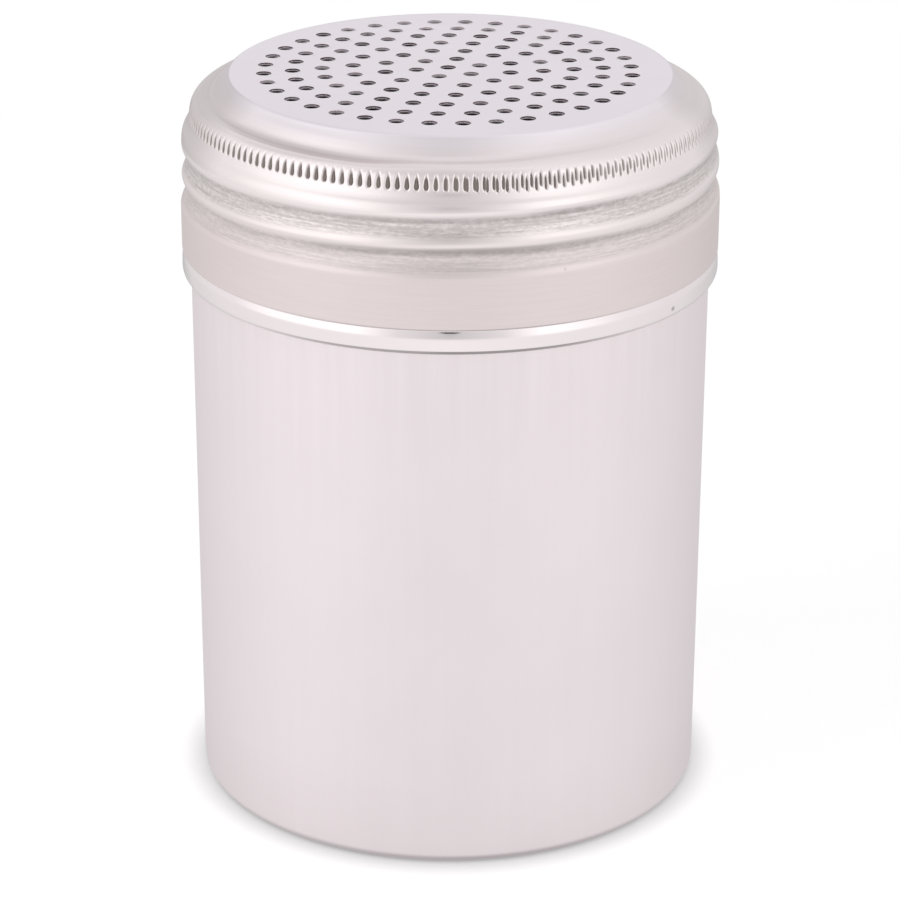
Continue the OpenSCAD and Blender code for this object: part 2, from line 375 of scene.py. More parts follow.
def flare(height):
    return BAND_R + (LID_R - BAND_R) * smooth_step(-height, FLARE_TOP, FLARE_LOW)


def lid_lower():
    """The outer face below the band, then the fold and the leg inside it."""
    thread = [Vector((flare(z), z)) for z in thread_heights()]
    skirt = [Vector((LID_R, z)) for z in (-19, -19.6, -20.2, -20.8, -21.4, -21.9)]
    low = LID_LOW + FOLD
    nick = curve_through([(LID_R - depth, z) for depth, z in NICK], 0.1)
    fold = arc((HEM_IN + FOLD, low), FOLD, 0, -180, 12)
    leg = [Vector(p) for p in ((HEM_IN, -24.8), (HEM_IN, -23.9), (HEM_IN, -23.2), (HEM_IN + 0.1, -23.05),
                               (LID_R - LID_SHEET - 0.1, -23.05))]
    return thread, skirt + nick + fold, leg


def lid_inner():
    """The inner face, from the hem up to the plate."""
    bare = [Vector((flare(z) - LID_SHEET, z)) for z in (-22.9, -22.0, -21.0, -20.0, -19.2)]
    thread = [Vector((flare(z) - LID_SHEET, z)) for z in thread_heights()[::-1]]
    upper = set_in(lid_upper(), LID_SHEET)[::-1]
    return bare, thread, [p for p in upper if p[1] > THREAD_TOP + 0.1 and p[0] > PLATE_R + 0.1]


print("lid's upper profile:", len(lid_upper()), "stations")

# %% [markdown]
# ## The knurl
#
# A toothed wheel is run round the shoulder to give the fingers a grip. Each tooth
# enters at the top as a point and leaves a blunt foot, so a slot looks like a
# drop. Where the wheel came round to its start it didn't meet its first slots:
# for a quarter of the turn it pressed a second set between them, a little lower.
# The slots are real dents, on a ring of 12 points for each tooth.

# %% Knurl
TEETH, PER_TOOTH, SLOT_TOP, SLOT_FOOT, SLOT_DEPTH = 180, 12, -3.8, -5.95, 0.28
SLOT_R, POINT_HALF, DROP_HALF, SLOT_ROUND = 33.4, 0.1, 0.29, 1.8
# The second set: where it starts and ends, how far it lies from the first in teeth, how much lower in
# millimetres, and by what angle both are reached. There the slots are shallower and narrower.
OVERLAP_START, OVERLAP_END, CREEP, SINK, SINK_BY = -8.0, 84.0, 0.55, 0.5, 26.0
SHALLOWER, CLOSER, SECOND_NARROW, SECOND_DEPTH = 0.33, 0.38, 0.55, 0.9
chance = random.Random(5)
tooth_depth = [0.88 + 0.24 * chance.random() for _ in range(TEETH)]


def one_slot(offset, fall, deep, narrow, blunt):
    """Depth of a slot at offset millimetres from its middle, where fall is 0 at its top and 1 at its foot."""
    widened = min(1.0, (1.3 + 0.8 * blunt) * fall) ** 0.8
    half = narrow * (POINT_HALF + DROP_HALF * widened * (1 - 0.45 * smooth_step(fall, 0.75, 1.0)))
    along = min(1.0, (2.2 + 1.6 * blunt) * fall) * (1 - smooth_step(fall, 0.86, 1.0))
    return deep * along * max(0.0, 1 - (abs(offset) / half) ** SLOT_ROUND)


def knurl(angle, height):
    """Depth of the knurling at an angle from the front and a height under the lid's top."""
    pitch = 360 / TEETH
    a = signed(angle)
    tooth = math.floor(a / pitch)
    to_mm = math.radians(1) * SLOT_R
    offset = (a / pitch - tooth - 0.5) * pitch * to_mm
    press = SLOT_DEPTH * (1 - SHALLOWER * plateau(a, 12.0, 46.0, 90.0, 120.0))
    blend = plateau(a, OVERLAP_START, 4.0, OVERLAP_END - 10, OVERLAP_END)
    length = SLOT_FOOT - SLOT_TOP + 0.2 * blend * smooth_step(a, 6.0, 30.0)
    fall = (height - SLOT_TOP) / length
    deep = 0.0
    if 0 < fall < 1:
        first = press * tooth_depth[tooth % TEETH] * (1 - 0.15 * blend)
        deep = one_slot(offset, fall, first, 1 - CLOSER * blend, blend)
    if blend > 0:
        settled = smooth_step(a, OVERLAP_START, SINK_BY)
        again = a / pitch - CREEP * (0.2 + 0.8 * settled)
        second_offset = (again - math.floor(again) - 0.5) * pitch * to_mm
        fall += SINK * settled / length
        if 0 < fall < 1:
            second = press * SECOND_DEPTH * blend * tooth_depth[math.floor(again) % TEETH]
            deep = max(deep, one_slot(second_offset, fall, second, SECOND_NARROW, blend))
    return deep


print("slot depths across one tooth:", [round(knurl(-41 + 0.2 * i, -5.1), 2) for i in range(11)])

# %% [markdown]
# ## The perforated plate
#
# The top is pierced with a middle hole and six rings of 6, 12, 18 and so on.
# Cutting 127 holes with Booleans gives long thin triangles, and those show as
# flaws on bright metal. Here the plate is triangulated with the holes in it: a
# Delaunay mesh over a fine grid, a ring of points round each hole, and the rim.
# The punch leaves a soft lip, so each hole's edge is rounded.

# %% Holes
HOLE_R, HOLE_LIP, HOLE_STEPS, HOLE_RINGS = 0.95, 0.17, 26, 6
RING_STEP, CROWDING, FIRST_HOLE, FIELD_ASIDE = 3.933, 0.0125, 14.5, -0.33
GRID, GRID_REACH, HOLE_STRAY = 0.95, 36, 0.03
chance = random.Random(11)


def hole_places():
    places = [(FIELD_ASIDE, 0.0, HOLE_R)]
    for ring in range(1, HOLE_RINGS + 1):
        radius = ring * RING_STEP * (1 + CROWDING * (HOLE_RINGS - ring))
        for i in range(6 * ring):
            turn = math.radians(FIRST_HOLE + 60 * i / ring)
            stray = [HOLE_STRAY * (chance.random() - 0.5) for _ in range(3)]
            places.append((FIELD_ASIDE + radius * math.cos(turn) + stray[0],
                           radius * math.sin(turn) + stray[1], HOLE_R + stray[2]))
    return places


HOLES = hole_places()
print(len(HOLES), "holes, outermost ring at", round(HOLE_RINGS * RING_STEP, 2), "mm")


def plate_mesh():
    """One face of the plate: its points (x, y), triangles, the rim's points and each hole's ring of points."""
    spots = []
    for i in range(AROUND):
        turn = math.radians(FRONT + 360 * i / AROUND)
        spots.append((PLATE_R * math.cos(turn), PLATE_R * math.sin(turn)))
    rings = []
    for x, y, r in HOLES:
        rings.append(list(range(len(spots), len(spots) + HOLE_STEPS)))
        for k in range(HOLE_STEPS):
            turn = 2 * math.pi * k / HOLE_STEPS
            spots.append((x + (r + HOLE_LIP) * math.cos(turn), y + (r + HOLE_LIP) * math.sin(turn)))
    for row in range(-GRID_REACH, GRID_REACH + 1):
        for column in range(-GRID_REACH, GRID_REACH + 1):
            x, y = (column + 0.5 * (row % 2)) * GRID, row * GRID * math.sqrt(3) / 2
            if math.hypot(x, y) > PLATE_R - 0.5 * GRID:
                continue
            if min(math.hypot(x - h[0], y - h[1]) - h[2] for h in HOLES) > HOLE_LIP + 0.4 * GRID:
                spots.append((x, y))
    edges = [(i, (i + 1) % AROUND) for i in range(AROUND)]
    for ring in rings:
        edges += [(ring[k], ring[(k + 1) % HOLE_STEPS]) for k in range(HOLE_STEPS)]
    made, _, triangles, origins, _, _ = delaunay_2d_cdt([Vector(s) for s in spots], edges, [], 0, 1e-6)
    now = {old: new for new, olds in enumerate(origins) for old in olds}
    # A triangle with all three corners on one hole's ring would close that hole.
    on_hole = {now[i]: hole for hole, ring in enumerate(rings) for i in ring}
    kept = [face for face in triangles if len({on_hole.get(v) for v in face}) > 1 or face[0] not in on_hole]
    return made, kept, [now[i] for i in range(AROUND)], [[now[i] for i in ring] for ring in rings]


# %% [markdown]
# The wall, the knurl, the thread and the plate now meet in one skin. The marks
# go on with the points. Painted shade says where the steel is painted darker to
# stand for shade: in the slots and the holes, in the crease inside the ledge,
# towards both sides away from the front, and as a shadow line at the hem's foot.
# Hollow says where the thread was rolled, for the scratches that the roller
# leaves and for a painted shade on the groove floors.

# %% Lid
PLATE, WALL, HEM, INSIDE, PIERCED = 0, 1, 2, 3, 4
GROOVE_REACH, LEDGE_LOWER, LEDGE_HIGHER = -6.2, 0.35, 0.15
# The wall of a hole downwards: (how far outside its radius, height, painted shade). The shade is painted dark at the
# top and the foot of the wall, with a lighter band between that is a painted lit streak.
HOLE_WALL = ((HOLE_LIP * 0.55, -0.02, 0.0), (HOLE_LIP * 0.2, -0.06, 0.4), (0.0, -0.11, 1.0), (0.0, -0.17, 0.8),
             (0.0, -0.22, 0.1), (0.0, -0.32, 0.1), (0.0, -0.38, 0.8), (0.0, -LID_SHEET + 0.06, 1.0))
# The holes at the back keep only the second share of their painted shade, so they are painted lighter.
BACK_HOLES, BACK_SHADE = 18, 0.35
# The crease's painted shade: where, how wide, how much, and how much more on the left.
CREASE_R, CREASE_HALF, CREASE_SHADE, CREASE_MORE = 31.1, 1.5, 0.04, 0.32
# The painted shadow line at the hem's foot: how dark, and the heights where it starts and is full.
HEM_SHADOW, HEM_SHADOW_FROM, HEM_SHADOW_FULL = 0.25, 26.02, 26.25


def ledge_dip(angle):
    """The press set the ledge a little lower on the left and higher on the right."""
    a = signed(angle)
    return LEDGE_LOWER * plateau(-a, 5, 22, 75, 110) - LEDGE_HIGHER * plateau(a, 8, 26, 80, 110)


def side_shade(angle):
    """Painted shade, darker towards both sides away from the front."""
    a = signed(angle)
    if a > 0:
        return 0.25 * smooth_step(a, 52, 78)
    return 0.32 * smooth_step(-a, 45, 75) - 0.07 * smooth_step(-a, 110, 170)


def crease(angle, radius):
    """Painted shade in the crease between the bevel and the ledge, most of it on the left."""
    share = CREASE_SHADE + CREASE_MORE * plateau(-signed(angle), -10, 36, 110, 170)
    return share * max(0.0, 1 - abs(radius - CREASE_R) / CREASE_HALF)


def skin_lid(materials):
    skin = Skin()
    made, triangles, rim, rings = plate_mesh()
    faces = []
    for lift in (0.0, -LID_SHEET):
        base = len(skin.points)
        for p in made:
            skin.points.append((p[0], p[1], LID_TOP + dome(p.length) + lift))
        for t in triangles:
            skin.add([base + v for v in t], PLATE if lift == 0 else INSIDE)
        faces.append(([base + v for v in rim], [[base + v for v in ring] for ring in rings]))
    (top_rim, top_holes), (low_rim, low_holes) = faces
    for (x, y, r), top, low in zip(HOLES, top_holes, low_holes):
        last = top
        height = LID_TOP + dome(math.hypot(x, y))
        # Each hole's painted shade, varied at random, and less of it at the back.
        hole_shade = (BACK_SHADE if y > BACK_HOLES else 1.0) * (4 * tooth_depth[len(skin.points) % TEETH] - 3)
        for grow, drop, shade_share in HOLE_WALL:
            first = len(skin.points)
            for k in range(HOLE_STEPS):
                turn = 2 * math.pi * k / HOLE_STEPS
                skin.points.append((x + (r + grow) * math.cos(turn), y + (r + grow) * math.sin(turn),
                                    height + drop))
            ring = list(range(first, first + HOLE_STEPS))
            for i in ring:
                skin.residue[i] = shade_share * hole_shade
            skin.join(last, ring, PLATE if last is top else PIERCED)
            last = ring
        for i in low:
            skin.residue[i] = hole_shade
        skin.join(last, low, PIERCED)

    last = top_rim
    for p in lid_upper()[1:]:
        in_knurl = SLOT_FOOT - SINK - 0.2 < p[1] < SLOT_TOP + 0.2
        count = TEETH * PER_TOOTH if in_knurl else AROUND
        slope = math.radians(20 + 40 * smooth_step(p[1], -5.0, -3.0))
        on_ledge = plateau(p[0], 29.3, 30.6, 31.6, 32.9)

        def place(angle):
            deep = knurl(angle, p[1]) if in_knurl else 0.0
            cut = rolled(LID_GROOVE, angle, LID_TOP + p[1])[0] if p[1] < GROOVE_REACH else 0.0
            return (p[0] - deep * math.cos(slope) - cut,
                    LID_TOP + p[1] - deep * math.sin(slope) - on_ledge * ledge_dip(angle))
        ring = skin.ring(count, place)
        for i in range(count):
            a = 360 * i / count
            if in_knurl:
                # Painted shade: the deeper a slot, the darker it is painted, and the knurl is painted darker towards
                # both sides.
                shade_share = max(side_shade(a), min(1.0, 1.2 * knurl(a, p[1]) / SLOT_DEPTH))
            else:
                # Painted shade in the crease inside the ledge, and on the upper wall towards both sides.
                shade_share = max(crease(a, p[0]), side_shade(a) * smooth_step(p[1], -9.3, -8.5))
            skin.residue[ring[i]] = shade_share
        if p[1] < GROOVE_REACH:
            for i in range(count):
                skin.hollow[ring[i]] = rolled(LID_GROOVE, 360 * i / count, LID_TOP + p[1])[1]
        skin.join(last, ring, WALL)
        last = ring

    thread, hem, leg = lid_lower()
    for p in thread:
        cuts = [rolled(LID_GROOVE, 360 * i / AROUND, LID_TOP + p[1]) for i in range(AROUND)]
        ring = skin.ring(AROUND, lambda angle: (p[0] - cuts[round(angle)][0], LID_TOP + p[1]))
        for i in range(AROUND):
            skin.hollow[ring[i]] = cuts[i][1]
        skin.join(last, ring, WALL)
        last = ring
    for group, finish in ((hem, WALL), (leg, INSIDE)):
        for p in group:
            ring = skin.ring(AROUND, lambda angle: (p[0], LID_TOP + p[1]))
            # A painted shadow line along the hem's foot, where it meets the cup.
            shade_share = HEM_SHADOW * smooth_step(-p[1], HEM_SHADOW_FROM, HEM_SHADOW_FULL) if finish == WALL else 0.0
            skin.residue.update((i, shade_share) for i in ring)
            skin.join(last, ring, HEM if p[1] < HEM_TOP and finish == WALL else finish)
            last = ring

    bare, inner_thread, upper = lid_inner()
    for group in (bare, inner_thread, upper):
        for p in group:
            ring = skin.ring(AROUND, lambda angle: (
                p[0] - (rolled(LID_GROOVE, angle, LID_TOP + p[1], spread=0.6)[0] if p[1] < GROOVE_REACH else 0.0),
                LID_TOP + p[1]))
            skin.join(last, ring, INSIDE)
            last = ring
    skin.join(last, low_rim, INSIDE)
    return skin.piece("lid_shell", materials)


print("ledge lower by", round(ledge_dip(-45), 2), "mm on the left and", round(ledge_dip(45), 2), "on the right")


# %% [markdown]
# ## Finishes
#
# Three effects are shared by all the steel, so each is a node group: the streaks
# that drawing leaves along the wall, the lines that spinning and polishing leave
# round it, and the faint film of handling. They read object coordinates, so they
# stay on the metal when the lid turns.

# %% Node helpers
def group_with(name, inputs, outputs):
    group = bpy.data.node_groups.new(name, "ShaderNodeTree")
    for title, kind, value in inputs:
        socket = group.interface.new_socket(title, in_out="INPUT", socket_type=kind)
        if value is not None:
            socket.default_value = value
    for title, kind in outputs:
        group.interface.new_socket(title, in_out="OUTPUT", socket_type=kind)
    return group, group.nodes.new("NodeGroupInput"), group.nodes.new("NodeGroupOutput")


def node(tree, kind, inputs=None, **settings):
    """A node with its settings and inputs. An input is a value, or a socket to link from."""
    made = tree.nodes.new(kind)
    for key, value in settings.items():
        setattr(made, key, value)
    for key, value in (inputs or {}).items():
        if isinstance(value, bpy.types.NodeSocket):
            tree.links.new(value, made.inputs[key])
        else:
            made.inputs[key].default_value = value
    return made


def math_node(tree, operation, a, b=0.0):
    return node(tree, "ShaderNodeMath", {0: a, 1: b}, operation=operation).outputs[0]


def vector_node(tree, operation, a, b):
    return node(tree, "ShaderNodeVectorMath", {0: a, 1: b}, operation=operation).outputs[0]


def noise(tree, place, scale, detail, rough):
    return node(tree, "ShaderNodeTexNoise",
                {"Vector": place, "Scale": scale, "Detail": detail, "Roughness": rough}).outputs["Fac"]


def ramp_value(tree, value, low, high, out_low=0.0, out_high=1.0):
    return node(tree, "ShaderNodeMapRange", {"Value": value, "From Min": low, "From Max": high,
                                             "To Min": out_low, "To Max": out_high}).outputs["Result"]


def mix_value(tree, share, a, b):
    return node(tree, "ShaderNodeMix", {0: share, 2: a, 3: b}).outputs[0]


def mix_colour(tree, share, a, b, blend="MIX"):
    return node(tree, "ShaderNodeMix", {0: share, 6: a, 7: b}, data_type="RGBA", blend_type=blend).outputs[2]


def effect(tree, group, place, **values):
    """A shared effect, read at a place on the piece."""
    return node(tree, "ShaderNodeGroup", {"Place": place, **values}, node_tree=group)


# %% Draw streaks
def make_draw_streaks():
    """Fine upright lines: noise that is stretched along the height."""
    group, ins, outs = group_with(
        "draw_streaks", [("Place", "NodeSocketVector", None), ("Fineness", "NodeSocketFloat", 900.0)],
        [("Lines", "NodeSocketFloat")])
    stretched = vector_node(group, "MULTIPLY", ins.outputs["Place"], (1.0, 1.0, 0.03))
    group.links.new(noise(group, stretched, ins.outputs["Fineness"], 3.0, 0.65), outs.inputs["Lines"])
    return group


# %% Spun lines
def make_spun_lines():
    """Fine lines round the axis: noise that changes along the profile and hardly round it."""
    group, ins, outs = group_with(
        "spun_lines", [("Place", "NodeSocketVector", None), ("Fineness", "NodeSocketFloat", 3500.0),
                       ("Broken", "NodeSocketFloat", 0.03)], [("Lines", "NodeSocketFloat")])
    x, y, z = node(group, "ShaderNodeSeparateXYZ", {0: ins.outputs["Place"]}).outputs
    out = math_node(group, "ADD", math_node(group, "MULTIPLY", x, x), math_node(group, "MULTIPLY", y, y))
    along = math_node(group, "SUBTRACT", math_node(group, "SQRT", out), z)
    bent = node(group, "ShaderNodeCombineXYZ", {
        "X": math_node(group, "MULTIPLY", x, ins.outputs["Broken"]),
        "Y": math_node(group, "MULTIPLY", y, ins.outputs["Broken"]), "Z": along}).outputs[0]
    group.links.new(noise(group, bent, ins.outputs["Fineness"], 3.0, 0.7), outs.inputs["Lines"])
    return group


# %% Handling film
def make_handling_film():
    """Broad soft clouds, for fingers and wiping, with a finer grain in them."""
    group, ins, outs = group_with(
        "handling_film", [("Place", "NodeSocketVector", None), ("Size", "NodeSocketFloat", 60.0)],
        [("Film", "NodeSocketFloat"), ("Grain", "NodeSocketFloat")])
    group.links.new(noise(group, ins.outputs["Place"], ins.outputs["Size"], 4.0, 0.6), outs.inputs["Film"])
    group.links.new(noise(group, ins.outputs["Place"], 2600.0, 2.0, 0.6), outs.inputs["Grain"])
    return group


draw_streaks, spun_lines, handling_film = make_draw_streaks(), make_spun_lines(), make_handling_film()
print("shared effects:", [g.name for g in (draw_streaks, spun_lines, handling_film)])

# %% [markdown]
# Each steel is one Principled shader with full metallic. Its colour and its
# roughness come from the shared effects in different shares: the drawn wall is
# satin with upright streaks, the lid is spun, and the hem and inside are brighter
# or plainer. The bump is far finer than the sheet is thick.

# %% Steel
TONE_REACH, GRAIN, BUMP_DEPTH = 0.3, 0.15, 0.00002
FADE_LOW, FADE_TOP, FADE_SHARE = 0.052, 0.072, 0.25
# The grey of the roller's scratches, which also paints shade on the groove floors, and the colour of the dings.
SCUFF_AND_SHADE, DENTED = (0.52, 0.48, 0.47, 1), (0.25, 0.21, 0.21, 1)


def steel(name, pale, dark, rough, streaks=0.0, lines=0.0, film=0.3, bump=0.1, hollows=False, residue=None,
          polish=(), tints=(), top_only=False, dings=()):
    """A steel. Polish is (height, roughness) pairs and tints (height, colour) pairs upwards, residue is the
    colour of the painted shade where that mark is set, and a ding is (azimuth, height, how wide, how tall), in
    degrees and millimetres."""
    material = bpy.data.materials.new(name)
    material.use_nodes = True
    tree = material.node_tree
    shader = tree.nodes["Principled BSDF"]
    shader.inputs["Metallic"].default_value = 1.0
    place = tree.nodes.new("ShaderNodeTexCoord").outputs["Object"]
    height_m = node(tree, "ShaderNodeSeparateXYZ", {0: place}).outputs["Z"]

    def plus(a, b):
        return math_node(tree, "ADD", a, b)

    def times(a, b):
        return math_node(tree, "MULTIPLY", a, b)

    clouds = effect(tree, handling_film, place)
    total = times(clouds.outputs["Film"], film)
    if streaks:
        upright = effect(tree, draw_streaks, place).outputs["Lines"]
        if top_only:
            fade = ramp_value(tree, height_m, FADE_LOW, FADE_TOP, FADE_SHARE, 1.0)
            upright = mix_value(tree, fade, 0.5, upright)
        total = plus(total, times(upright, streaks))
    around = effect(tree, spun_lines, place).outputs["Lines"]
    total = plus(total, times(around, lines))
    middle = (streaks + lines + film) / 2
    low_total, high_total = middle - TONE_REACH, middle + TONE_REACH
    colour = mix_colour(tree, ramp_value(tree, total, low_total, high_total), (*dark, 1), (*pale, 1))
    if tints:
        shade = (*tints[0][1], 1)
        for (low, _), (high, tint) in zip(tints, tints[1:]):
            shade = mix_colour(tree, ramp_value(tree, height_m, low * MM, high * MM), shade, (*tint, 1))
        colour = mix_colour(tree, 1.0, colour, shade, "MULTIPLY")
    roughness = ramp_value(tree, total, low_total, high_total, rough + 0.05, rough - 0.04)
    for (low, rough_low), (high, rough_high) in zip(polish, polish[1:]):
        step = ramp_value(tree, height_m, (LID_TOP + low) * MM, (LID_TOP + high) * MM, 0.0, rough_high - rough_low)
        roughness = plus(roughness, step)
    if hollows:
        hollow = node(tree, "ShaderNodeAttribute", attribute_name="hollow").outputs["Fac"]
        inside = ramp_value(tree, hollow, 0.16, 0.5)
        scuffs = effect(tree, spun_lines, place, Fineness=3300.0, Broken=0.34).outputs["Lines"]
        scratch = ramp_value(tree, plus(around, scuffs), 0.84, 1.24)
        # On the groove floors: the roller's scratches, with a painted shade over the floor, less of it in the lower
        # groove.
        scuffed_and_shaded = times(inside, ramp_value(tree, scratch, 0.0, 1.0, 0.92, 0.05))
        upper = ramp_value(tree, height_m, (LID_TOP - 15.0) * MM, (LID_TOP - 12.0) * MM, 0.6, 1.0)
        colour = mix_colour(tree, times(scuffed_and_shaded, upper), colour, SCUFF_AND_SHADE)
        roughness = plus(roughness, times(inside, 0.06))
    # Painted shade: the colour goes towards a dark one where the mark is set, in the slots, the holes, the crease,
    # towards the sides and at the hem's foot.
    if residue:
        slot = node(tree, "ShaderNodeAttribute", attribute_name="residue").outputs["Fac"]
        shade_share = ramp_value(tree, slot, 0.1, 0.8)
        colour = mix_colour(tree, shade_share, colour, (*residue, 1))
        roughness = plus(roughness, times(shade_share, 0.2))
    height = plus(total, times(clouds.outputs["Grain"], GRAIN))
    for azimuth, z, wide, tall in dings:
        a = math.radians(azimuth)
        spot = Vector((LID_R * math.sin(a), -LID_R * math.cos(a), LID_TOP + z)) * MM
        scaled = vector_node(tree, "MULTIPLY", vector_node(tree, "SUBTRACT", place, spot),
                             (1000 / wide, 1000 / wide, 1000 / tall))
        near = node(tree, "ShaderNodeVectorMath", {0: scaled}, operation="LENGTH").outputs["Value"]
        dent = ramp_value(tree, near, 1.0, 0.4)
        colour = mix_colour(tree, times(dent, 0.6), colour, DENTED)
        height = math_node(tree, "SUBTRACT", height, times(dent, 3.0))
    tree.links.new(colour, shader.inputs["Base Color"])
    tree.links.new(roughness, shader.inputs["Roughness"])
    relief = node(tree, "ShaderNodeBump", {"Height": height, "Strength": bump, "Distance": BUMP_DEPTH})
    tree.links.new(relief.outputs["Normal"], shader.inputs["Normal"])
    return material


LID_POLISH = [(-22.0, 0.45), (-17.0, 0.45), (-11.0, 0.28), (-9.5, 0.28), (-6.5, 0.28), (-3.5, 0.28), (-2.0, 0.34)]
LID_TINTS = [(LID_TOP + z, tint) for z, tint in (
    (-22.0, (0.775, 0.69, 0.69)), (-17.0, (0.775, 0.69, 0.69)), (-11.0, (0.84, 0.77, 0.77)),
    (-4.0, (0.86, 0.79, 0.80)), (-2.2, (0.86, 0.79, 0.81)), (-0.6, (0.87, 0.815, 0.87)))]
# Painted shade on the cup: its colour is darker towards the foot, standing for the shaded table that it mirrors
# there.
CUP_SHADE_TINTS = [(0.0, (0.79, 0.72, 0.74)), (12.0, (0.83, 0.76, 0.785)), (45.0, (0.85, 0.78, 0.805)),
             (80.0, (0.86, 0.785, 0.81))]
PALE, DULL, BRIGHT = (1.0, 1.0, 1.0), (0.93, 0.93, 0.925), (0.96, 0.96, 0.955)
# Colours of the painted shade: on the lid's wall (the knurl's slots, the crease, the sides) and in the holes.
LID_WALL_SHADE, HOLE_SHADE = (0.24, 0.205, 0.19), (0.19, 0.14, 0.17)
drawn_steel = steel("drawn_steel", PALE, BRIGHT, 0.5, streaks=1.0, film=0.5, bump=0.14, tints=CUP_SHADE_TINTS,
                    top_only=True)
plate_steel = steel("plate_steel", (0.87, 0.815, 0.87), (0.83, 0.775, 0.83), 0.34, lines=0.2, film=0.5, bump=0.12)
spun_steel = steel("spun_steel", PALE, DULL, LID_POLISH[0][1], lines=0.6, bump=0.3, hollows=True,
                   residue=LID_WALL_SHADE, polish=LID_POLISH, tints=LID_TINTS,
                   dings=[(-24.0, -14.93, 0.7, 0.25), (23.6, -15.9, 0.2, 0.6)])
# Its dark colour paints the shadow line at the hem's foot.
hem_steel = steel("hem_steel", (0.82, 0.757, 0.765), (0.77, 0.71, 0.715), 0.09, lines=0.2,
                  residue=(0.4, 0.36, 0.36), dings=[(53.1, -25.2, 0.5, 0.4)])
inside_steel = steel("inside_steel", (0.70, 0.66, 0.66), (0.58, 0.54, 0.54), 0.32, streaks=0.3, lines=0.3, film=0.4,
                     bump=0.2)
# The hole walls are painted dark at the top and the foot, with a lighter painted band between.
pierced_steel = steel("pierced_steel", (0.96, 0.91, 0.94), (0.86, 0.8, 0.83), 0.75, film=1.0, bump=0.2,
                      residue=HOLE_SHADE)
print("finishes:", [m.name for m in (drawn_steel, plate_steel, spun_steel, hem_steel, inside_steel, pierced_steel)])

# %% [markdown]
# The ring is translucent silicone: pale, soft, with a dry sheen and a speck of
# spice dust in its pores. Its solid already has the right shape, so it keeps it
# and only gets the material.

# %% Silicone
silicone = bpy.data.materials.new("silicone")
silicone.use_nodes = True
tree = silicone.node_tree
soft = tree.nodes["Principled BSDF"]
dust = effect(tree, handling_film, tree.nodes.new("ShaderNodeTexCoord").outputs["Object"])
tone = ramp_value(tree, dust.outputs["Film"], 0.35, 0.65)
tree.links.new(mix_colour(tree, tone, (0.74, 0.71, 0.66, 1), (0.86, 0.85, 0.82, 1)), soft.inputs["Base Color"])
pores = node(tree, "ShaderNodeBump", {"Height": dust.outputs["Grain"], "Strength": 0.2, "Distance": 0.00005})
tree.links.new(pores.outputs["Normal"], soft.inputs["Normal"])
soft.inputs["Roughness"].default_value = 0.55
soft.inputs["Subsurface Weight"].default_value = 0.2
soft.inputs["Subsurface Radius"].default_value = (0.001, 0.001, 0.0008)
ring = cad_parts["seal_ring"]
ring.data.materials.clear()
ring.data.materials.append(silicone)
print("seal ring wears", ring.data.materials[0].name)

# %% [markdown]
# ## Put the pieces on their bodies
#
# The cup stands still and the lid turns and climbs. Each skin stands for its
# solid, which stays in the physics model.

# %% Pieces
cup_shell = skin_cup([drawn_steel, inside_steel])
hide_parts("cup")
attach(cup_shell, "cup_body")

lid_shell = skin_lid([plate_steel, spun_steel, hem_steel, inside_steel, pierced_steel])
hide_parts("lid")
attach(lid_shell, "lid_body")

# %% [markdown]
# ## The studio
#
# Bright metal has no look of its own: it shows the room. The room here is a
# white table in a white tent, open towards the camera. The table takes part of
# its white from its own colour and part from Light Path, so that it keeps the
# shadow of the shaker. Close to the shaker's foot, where hardly any light gets
# in, an Ambient Occlusion node makes it darker.

# %% Seen white
def seen_white(tree):
    """Two switches: 1 for the rays that show the studio (to the camera, in gloss, through glass), 1 for gloss."""
    rays = tree.nodes.new("ShaderNodeLightPath")
    seen = math_node(tree, "MAXIMUM", rays.outputs["Is Camera Ray"], rays.outputs["Is Glossy Ray"])
    return math_node(tree, "MAXIMUM", seen, rays.outputs["Is Transmission Ray"]), rays.outputs["Is Glossy Ray"]


# %% Floor
FLOOR_R, FLOOR_Z, FLOOR_GLOW, FLOOR_PAINT, CONTACT, CONTACT_DARK = 0.32, -0.00004, 0.49, 0.85, 0.0039, 0.4
floor_mesh = bpy.data.meshes.new("floor")
corners = [(FLOOR_R * math.cos(math.radians(a)), FLOOR_R * math.sin(math.radians(a)), FLOOR_Z)
           for a in range(0, 360, 5)]
floor_mesh.from_pydata(corners, [], [tuple(range(len(corners)))])
floor = bpy.data.objects.new("floor", floor_mesh)
floor.visible_glossy = False
bpy.context.collection.objects.link(floor)

paper = bpy.data.materials.new("white_table")
paper.use_nodes = True
tree = paper.node_tree
tree.nodes.clear()
seen, _ = seen_white(tree)
nearness = node(tree, "ShaderNodeAmbientOcclusion", {"Distance": CONTACT}, samples=16).outputs["AO"]
contact = ramp_value(tree, nearness, 0.0, 1.0, CONTACT_DARK, 1.0)
strength = math_node(tree, "MULTIPLY", contact, math_node(tree, "MULTIPLY", seen, FLOOR_GLOW))
glow = node(tree, "ShaderNodeEmission", {"Color": (1, 1, 1, 1), "Strength": strength})
paint = node(tree, "ShaderNodeBsdfDiffuse", {"Color": ramp_value(tree, contact, 0.0, 1.0, 0.0, FLOOR_PAINT)})
both = node(tree, "ShaderNodeAddShader", {0: glow.outputs[0], 1: paint.outputs[0]})
tree.links.new(both.outputs[0], tree.nodes.new("ShaderNodeOutputMaterial").inputs["Surface"])
floor_mesh.materials.append(paper)
print("floor radius", FLOOR_R, "m")

# %% [markdown]
# The steel mirrors the tent. Its cloth could be a mesh with lamps behind it, but
# a World shader is simpler to tune: it gives each direction a brightness, from
# the azimuth and the height of that direction. Only gloss sees the bright and
# the dim parts. To the camera the world is plain white, and as a light it is
# even.

